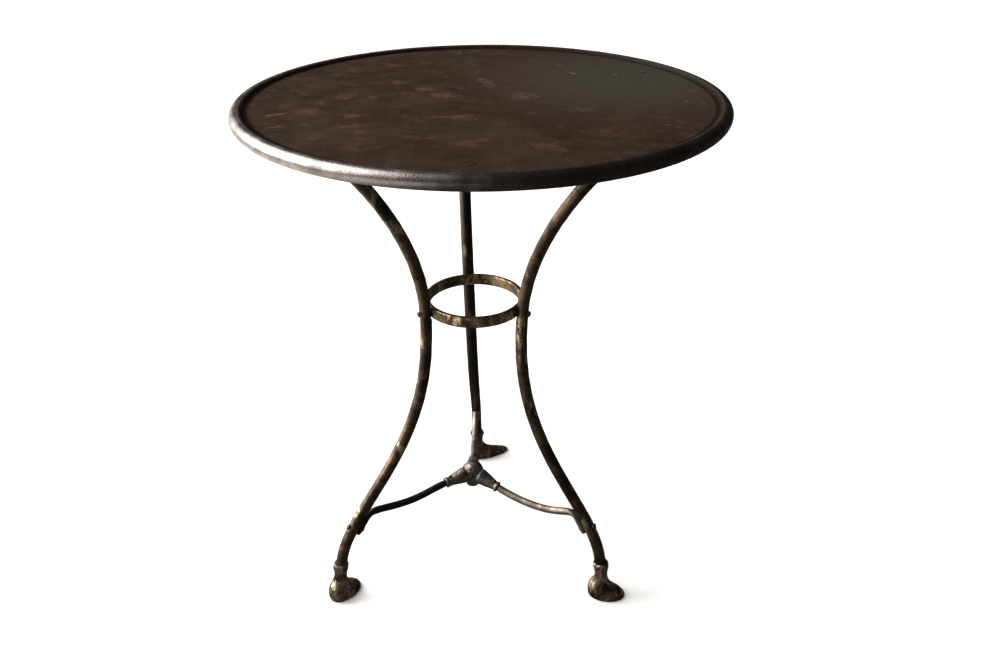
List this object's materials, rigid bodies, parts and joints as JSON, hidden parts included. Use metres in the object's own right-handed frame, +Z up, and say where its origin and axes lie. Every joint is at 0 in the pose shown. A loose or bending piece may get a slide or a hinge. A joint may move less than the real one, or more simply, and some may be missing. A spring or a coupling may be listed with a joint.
{
  "type": "bistro table",
  "caption": "Round iron bistro table: rolled-rim sheet top on curved bar legs with a riveted collar ring, a hub-and-arm stretcher and cast hoof feet.",
  "frame": {"origin": "on the floor, under the middle of the round top", "axes": "+Z up through the middle of the top; +Y towards the rear leg; +X to the right"},
  "size_m": [0.6, 0.6, 0.72],
  "materials": {
    "sheet_iron": "aged brown oxide patina, waxed, semi-gloss",
    "iron_bar": "dark oxidised bar iron, semi-gloss",
    "cast_iron": "dark bronze-brown cast surface, satin",
    "rivet_iron": "hammered heads, rust-brown"
  },
  "bodies": {
    "root": {"top_sheet": "sheet_iron", "rim_hoop": "iron_bar", "stiffener_ring": "iron_bar", "collar_ring": "iron_bar", "hub": "cast_iron", "leg_rear": "iron_bar", "stretcher_arm_rear": "iron_bar", "foot_rear": "cast_iron", "top_rivet_rear_inner": "rivet_iron", "top_rivet_rear_outer": "rivet_iron", "ring_rivet_after_rear": "rivet_iron", "collar_rivet_rear": "rivet_iron", "arm_rivet_rear": "rivet_iron", "hub_pin_rear": "rivet_iron", "foot_pin_rear": "rivet_iron", "leg_front_left": "iron_bar", "stretcher_arm_front_left": "iron_bar", "foot_front_left": "cast_iron", "top_rivet_front_left_inner": "rivet_iron", "top_rivet_front_left_outer": "rivet_iron", "ring_rivet_after_front_left": "rivet_iron", "collar_rivet_front_left": "rivet_iron", "arm_rivet_front_left": "rivet_iron", "hub_pin_front_left": "rivet_iron", "foot_pin_front_left": "rivet_iron", "leg_front_right": "iron_bar", "stretcher_arm_front_right": "iron_bar", "foot_front_right": "cast_iron", "top_rivet_front_right_inner": "rivet_iron", "top_rivet_front_right_outer": "rivet_iron", "ring_rivet_after_front_right": "rivet_iron", "collar_rivet_front_right": "rivet_iron", "arm_rivet_front_right": "rivet_iron", "hub_pin_front_right": "rivet_iron", "foot_pin_front_right": "rivet_iron"}
  },
  "joints": []
}
